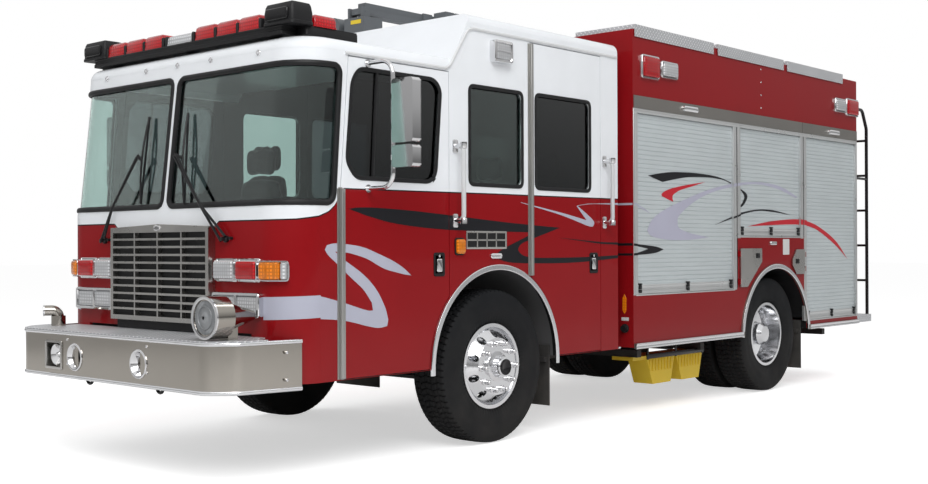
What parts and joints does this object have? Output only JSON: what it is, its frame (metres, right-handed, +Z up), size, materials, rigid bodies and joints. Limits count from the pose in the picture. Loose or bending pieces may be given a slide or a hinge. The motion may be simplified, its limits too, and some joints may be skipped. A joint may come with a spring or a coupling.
{
  "type": "fire engine",
  "caption": "Custom-cab rescue fire engine with a crew cab, opening doors and roof lockers, steered front axle, dual rear wheels, roll-up shutters and a folding light tower.",
  "frame": {"origin": "on the ground, midway between the bumper face and the tailboard edge, on the centre plane", "axes": "+Z up, +Y towards the rear so that the engine faces -Y, +X to its left side"},
  "size_m": [3.338, 8.575, 3.2538],
  "materials": {
    "tyre": "moulded rubber with a blocked tread",
    "polished_alloy": "polished aluminium",
    "frame_black": "gloss black chassis paint",
    "polished_steel": "polished stainless steel",
    "tread_plate": "bright tread plate",
    "red_paint": "gloss red over white with swept stripes",
    "shutter_metal": "satin anodised slats",
    "brushed_steel": "brushed stainless steel",
    "rubber": "matt rubber",
    "yellow_plastic": "moulded yellow plastic",
    "black_bar": "black powder coat",
    "lamp_lens": "moulded lenses in bright bezels",
    "glass": "tinted safety glass",
    "grille_black": "dark satin grille in a bright shell",
    "trim_grey": "grained grey moulding",
    "seat_cloth": "woven black seat cloth",
    "tower_grey": "grey powder coat"
  },
  "bodies": {
    "chassis": {"chassis_frame": "frame_black", "front_suspension": "frame_black", "rear_suspension": "frame_black", "powertrain": "frame_black", "front_bumper": "polished_steel", "bumper_deck": "tread_plate", "bumper_fittings": "polished_steel", "body_left": "red_paint", "body_right": "red_paint", "hose_bed": "red_paint", "shutters": "shutter_metal", "body_trim": "brushed_steel", "mud_flaps": "rubber", "wheel_chocks": "yellow_plastic", "tailboard": "tread_plate", "rear_ladder": "black_bar", "body_lamps": "lamp_lens", "cab_shell": "red_paint", "cab_floor": "trim_grey", "cab_glass": "glass", "grille": "grille_black", "cab_lamps": "lamp_lens", "cab_interior": "trim_grey", "seats": "seat_cloth", "light_bar": "lamp_lens", "grab_rails": "polished_steel", "tower_base": "tower_grey"},
    "steering_wheel": {"steering_wheel": "rubber"},
    "tower_boom": {"tower_boom": "tower_grey"},
    "tower_head": {"tower_head": "tower_grey"},
    "steering_knuckle_left": {"steering_knuckle_left": "frame_black"},
    "front_wheel_left": {"front_wheel_left": "polished_alloy", "front_tyre_left": "tyre"},
    "rear_wheels_left": {"rear_wheels_left": "polished_alloy", "rear_tyres_left": "tyre"},
    "front_door_left": {"front_door_left": "red_paint", "front_door_glass_left": "glass", "mirror_left": "polished_steel"},
    "crew_door_left": {"crew_door_left": "red_paint", "crew_door_glass_left": "glass"},
    "roof_lid_1_left": {"roof_lid_1_left": "tread_plate"},
    "roof_lid_2_left": {"roof_lid_2_left": "tread_plate"},
    "roof_lid_3_left": {"roof_lid_3_left": "tread_plate"},
    "bottle_door_front_left": {"bottle_door_front_left": "brushed_steel"},
    "bottle_door_rear_left": {"bottle_door_rear_left": "brushed_steel"},
    "steering_knuckle_right": {"steering_knuckle_right": "frame_black"},
    "front_wheel_right": {"front_wheel_right": "polished_alloy", "front_tyre_right": "tyre"},
    "rear_wheels_right": {"rear_wheels_right": "polished_alloy", "rear_tyres_right": "tyre"},
    "front_door_right": {"front_door_right": "red_paint", "front_door_glass_right": "glass", "mirror_right": "polished_steel"},
    "crew_door_right": {"crew_door_right": "red_paint", "crew_door_glass_right": "glass"},
    "roof_lid_1_right": {"roof_lid_1_right": "tread_plate"},
    "roof_lid_2_right": {"roof_lid_2_right": "tread_plate"},
    "roof_lid_3_right": {"roof_lid_3_right": "tread_plate"},
    "bottle_door_front_right": {"bottle_door_front_right": "brushed_steel"},
    "bottle_door_rear_right": {"bottle_door_rear_right": "brushed_steel"}
  },
  "joints": [
    {"name": "steer_left", "type": "hinge", "parent": "chassis", "child": "steering_knuckle_left", "pos_m": [0.88, -1.9575, 0.5625], "axis": [0, 0, 1], "range_deg": [-38, 38]},
    {"name": "front_wheel_left_spin", "type": "hinge", "parent": "steering_knuckle_left", "child": "front_wheel_left", "pos_m": [1.065, -1.9575, 0.5375], "axis": [1, 0, 0], "continuous": true},
    {"name": "rear_wheels_left_spin", "type": "hinge", "parent": "chassis", "child": "rear_wheels_left", "pos_m": [0.895, 2.0695, 0.5375], "axis": [1, 0, 0], "continuous": true},
    {"name": "front_door_left_hinge", "type": "hinge", "parent": "chassis", "child": "front_door_left", "pos_m": [1.252, -3.4305, 1.2], "axis": [0, 0, -1], "range_deg": [0, 78]},
    {"name": "crew_door_left_hinge", "type": "hinge", "parent": "chassis", "child": "crew_door_left", "pos_m": [1.252, -1.5805, 2], "axis": [0, 0, -1], "range_deg": [0, 85]},
    {"name": "roof_lid_1_left_hinge", "type": "hinge", "parent": "chassis", "child": "roof_lid_1_left", "pos_m": [0.68, 0.32867, 3.133], "axis": [0, -1, 0], "range_deg": [0, 80]},
    {"name": "roof_lid_2_left_hinge", "type": "hinge", "parent": "chassis", "child": "roof_lid_2_left", "pos_m": [0.68, 1.641, 3.133], "axis": [0, -1, 0], "range_deg": [0, 80]},
    {"name": "roof_lid_3_left_hinge", "type": "hinge", "parent": "chassis", "child": "roof_lid_3_left", "pos_m": [0.68, 2.95333, 3.133], "axis": [0, -1, 0], "range_deg": [0, 80]},
    {"name": "bottle_door_front_left_hinge", "type": "hinge", "parent": "chassis", "child": "bottle_door_front_left", "pos_m": [1.287, 1.4075, 1.18], "axis": [0, 0, -1], "range_deg": [0, 90]},
    {"name": "bottle_door_rear_left_hinge", "type": "hinge", "parent": "chassis", "child": "bottle_door_rear_left", "pos_m": [1.287, 2.6795, 1.22], "axis": [0, 0, 1], "range_deg": [0, 90]},
    {"name": "steer_right", "type": "hinge", "parent": "chassis", "child": "steering_knuckle_right", "pos_m": [-0.88, -1.9575, 0.5625], "axis": [0, 0, 1], "range_deg": [-38, 38]},
    {"name": "front_wheel_right_spin", "type": "hinge", "parent": "steering_knuckle_right", "child": "front_wheel_right", "pos_m": [-1.065, -1.9575, 0.5375], "axis": [1, 0, 0], "continuous": true},
    {"name": "rear_wheels_right_spin", "type": "hinge", "parent": "chassis", "child": "rear_wheels_right", "pos_m": [-0.895, 2.0695, 0.5375], "axis": [1, 0, 0], "continuous": true},
    {"name": "front_door_right_hinge", "type": "hinge", "parent": "chassis", "child": "front_door_right", "pos_m": [-1.252, -3.4305, 1.2], "axis": [0, 0, 1], "range_deg": [0, 78]},
    {"name": "crew_door_right_hinge", "type": "hinge", "parent": "chassis", "child": "crew_door_right", "pos_m": [-1.252, -1.5805, 2], "axis": [0, 0, 1], "range_deg": [0, 85]},
    {"name": "roof_lid_1_right_hinge", "type": "hinge", "parent": "chassis", "child": "roof_lid_1_right", "pos_m": [-0.68, 0.32867, 3.133], "axis": [0, 1, 0], "range_deg": [0, 80]},
    {"name": "roof_lid_2_right_hinge", "type": "hinge", "parent": "chassis", "child": "roof_lid_2_right", "pos_m": [-0.68, 1.641, 3.133], "axis": [0, 1, 0], "range_deg": [0, 80]},
    {"name": "roof_lid_3_right_hinge", "type": "hinge", "parent": "chassis", "child": "roof_lid_3_right", "pos_m": [-0.68, 2.95333, 3.133], "axis": [0, 1, 0], "range_deg": [0, 80]},
    {"name": "bottle_door_front_right_hinge", "type": "hinge", "parent": "chassis", "child": "bottle_door_front_right", "pos_m": [-1.287, 1.4075, 1.18], "axis": [0, 0, 1], "range_deg": [0, 90]},
    {"name": "bottle_door_rear_right_hinge", "type": "hinge", "parent": "chassis", "child": "bottle_door_rear_right", "pos_m": [-1.287, 2.6795, 1.22], "axis": [0, 0, -1], "range_deg": [0, 90]},
    {"name": "steering_wheel_turn", "type": "hinge", "parent": "chassis", "child": "steering_wheel", "pos_m": [0.7, -3.2875, 1.475], "axis": [0, 0.5299, 0.848], "range_deg": [-800, 800]},
    {"name": "tower_boom_lift", "type": "hinge", "parent": "chassis", "child": "tower_boom", "pos_m": [0, -2.1075, 3.16], "axis": [1, 0, 0], "range_deg": [0, 85]},
    {"name": "tower_head_tilt", "type": "hinge", "parent": "tower_boom", "child": "tower_head", "pos_m": [0, -1.3705, 3.21], "axis": [1, 0, 0], "range_deg": [0, 100]}
  ],
  "couplings": [
    {"joint": "steer_right", "follows": "steer_left", "ratio": 1},
    {"joint": "steering_wheel_turn", "follows": "steer_left", "ratio": 20}
  ]
}
